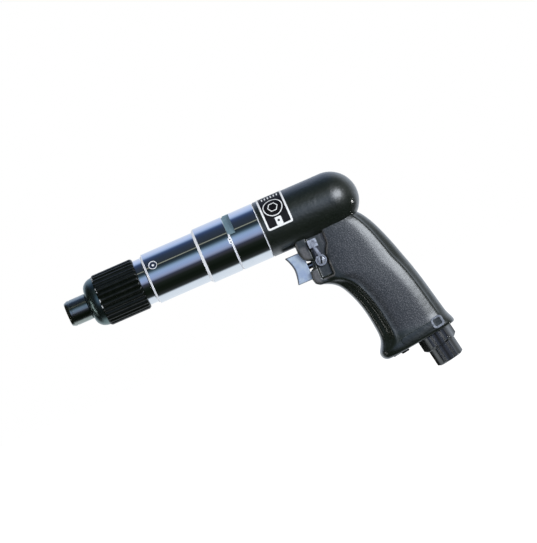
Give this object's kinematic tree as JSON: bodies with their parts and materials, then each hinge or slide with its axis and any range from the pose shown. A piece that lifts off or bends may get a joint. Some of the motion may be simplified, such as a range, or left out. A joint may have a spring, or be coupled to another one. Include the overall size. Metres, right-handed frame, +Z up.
{
  "type": "pneumatic screwdriver",
  "caption": "Pistol-grip air screwdriver with quick-change bit chuck, ribbed clutch collar, polished steel cases, trigger, reverse lever and threaded air inlet under the grip.",
  "frame": {"origin": "centre of the bit socket's mouth, on the spindle axis", "axes": "+X runs back along the spindle and barrel, +Z is up (the grip hangs down), +Y is the tool's side without the reverse lever"},
  "size_m": [0.2465, 0.0411, 0.1575],
  "materials": {
    "black_paint": "semi-gloss black paint on cast aluminium, leather-grained on the grip",
    "polished_steel": "polished plated steel",
    "black_oxide": "blackened steel",
    "dark_cone": "semi-gloss dark grey",
    "label": "printed plate",
    "trigger_metal": "satin anodised",
    "lever_metal": "satin",
    "tool_steel": "ground",
    "spring_steel": "drawn wire",
    "bearing_steel": "polished",
    "motor_iron": "machined",
    "vane_fibre": "laminated fibre",
    "valve_brass": "turned",
    "fitting_steel": "blackened hexagon steel",
    "seal_rubber": "moulded",
    "silencer_felt": "felt"
  },
  "bodies": {
    "housing": {"motor_housing": "black_paint", "label_plate": "label", "gear_case": "polished_steel", "clutch_housing": "polished_steel", "oil_plug": "tool_steel", "seam_key": "tool_steel", "collar_ring": "spring_steel", "ring_gear": "tool_steel", "carrier_bearing_front": "bearing_steel", "carrier_bearing_rear": "bearing_steel", "motor_front_plate": "motor_iron", "motor_cylinder": "motor_iron", "motor_rear_plate": "motor_iron", "rotor_bearing_front": "bearing_steel", "rotor_bearing_rear": "bearing_steel", "throttle_bushing": "valve_brass", "throttle_spring": "spring_steel", "clutch_spring": "spring_steel", "inlet_bushing": "fitting_steel", "inlet_seal": "seal_rubber", "inlet_fitting": "fitting_steel", "inlet_screen": "valve_brass", "exhaust_silencer": "silencer_felt", "exhaust_cover": "black_oxide", "exhaust_screws": "tool_steel"},
    "collar_group": {"adjusting_collar": "black_oxide", "nose_cone": "dark_cone"},
    "nut_group": {"adjusting_nut": "tool_steel"},
    "spindle_group": {"bit_spindle": "tool_steel", "chuck_clip": "spring_steel", "chuck_spring": "spring_steel", "clutch_jaw": "tool_steel", "thrust_race": "tool_steel"},
    "sleeve_group": {"chuck_sleeve": "black_oxide"},
    "lock_ball": {"bit_ball": "bearing_steel"},
    "carrier_group": {"planet_carrier": "tool_steel", "planet_pins": "tool_steel", "clutch_balls": "bearing_steel"},
    "planet_1": {"planet_gear_1": "tool_steel"},
    "planet_2": {"planet_gear_2": "tool_steel"},
    "planet_3": {"planet_gear_3": "tool_steel"},
    "rotor_group": {"rotor": "tool_steel", "rotor_vanes": "vane_fibre", "sun_pinion": "tool_steel"},
    "trigger_group": {"trigger": "trigger_metal", "trigger_pin": "tool_steel"},
    "valve_group": {"throttle_valve": "valve_brass"},
    "reverse_group": {"reverse_lever": "lever_metal", "reverse_valve": "valve_brass", "lever_screw": "tool_steel"}
  },
  "joints": [
    {"name": "trigger_press", "type": "slide", "parent": "housing", "child": "trigger_group", "axis": [1, 0, 0], "range_m": [0, 0.005], "stiffness_N_per_m": 900, "springref_m": -0.005},
    {"name": "valve_push", "type": "slide", "parent": "housing", "child": "valve_group", "axis": [1, 0, 0], "range_m": [0, 0.005], "deforming": ["throttle_spring"]},
    {"name": "reverse_turn", "type": "hinge", "parent": "housing", "child": "reverse_group", "pos_m": [0.1775, -0.0095, -0.03553], "axis": [0, 1, 0], "range_deg": [0, 24]},
    {"name": "collar_turn", "type": "hinge", "parent": "housing", "child": "collar_group", "pos_m": [0.04, 0, 0], "axis": [1, 0, 0], "range_deg": [0, 720]},
    {"name": "nut_feed", "type": "slide", "parent": "collar_group", "child": "nut_group", "axis": [1, 0, 0], "range_m": [0, 0.003], "deforming": ["clutch_spring"]},
    {"name": "sleeve_pull", "type": "slide", "parent": "spindle_group", "child": "sleeve_group", "axis": [-1, 0, 0], "range_m": [0, 0.0024], "stiffness_N_per_m": 900, "springref_m": -0.003, "deforming": ["chuck_spring"]},
    {"name": "ball_lift", "type": "slide", "parent": "spindle_group", "child": "lock_ball", "axis": [0, 0, 1], "range_m": [0, 0.00097]},
    {"name": "rotor_spin", "type": "hinge", "parent": "housing", "child": "rotor_group", "pos_m": [0.181, 0, 0], "axis": [1, 0, 0], "continuous": true},
    {"name": "carrier_spin", "type": "hinge", "parent": "housing", "child": "carrier_group", "pos_m": [0.11, 0, 0], "axis": [1, 0, 0], "continuous": true},
    {"name": "planet_1_spin", "type": "hinge", "parent": "carrier_group", "child": "planet_1", "pos_m": [0.1375, 0, 0.01013], "axis": [1, 0, 0], "continuous": true},
    {"name": "planet_2_spin", "type": "hinge", "parent": "carrier_group", "child": "planet_2", "pos_m": [0.1375, -0.00877, -0.00506], "axis": [1, 0, 0], "continuous": true},
    {"name": "planet_3_spin", "type": "hinge", "parent": "carrier_group", "child": "planet_3", "pos_m": [0.1375, 0.00877, -0.00506], "axis": [1, 0, 0], "continuous": true},
    {"name": "spindle_spin", "type": "hinge", "parent": "housing", "child": "spindle_group", "pos_m": [0.04, 0, 0], "axis": [1, 0, 0], "continuous": true}
  ],
  "couplings": [
    {"joint": "valve_push", "follows": "trigger_press", "ratio": 1},
    {"joint": "nut_feed", "follows": "collar_turn", "m_per_rad": 0.00023873},
    {"joint": "ball_lift", "follows": "sleeve_pull", "ratio": 0.4},
    {"joint": "carrier_spin", "follows": "rotor_spin", "ratio": 0.22222},
    {"joint": "planet_1_spin", "follows": "rotor_spin", "ratio": -0.62222},
    {"joint": "planet_2_spin", "follows": "rotor_spin", "ratio": -0.62222},
    {"joint": "planet_3_spin", "follows": "rotor_spin", "ratio": -0.62222},
    {"joint": "spindle_spin", "follows": "rotor_spin", "ratio": 0.22222}
  ]
}
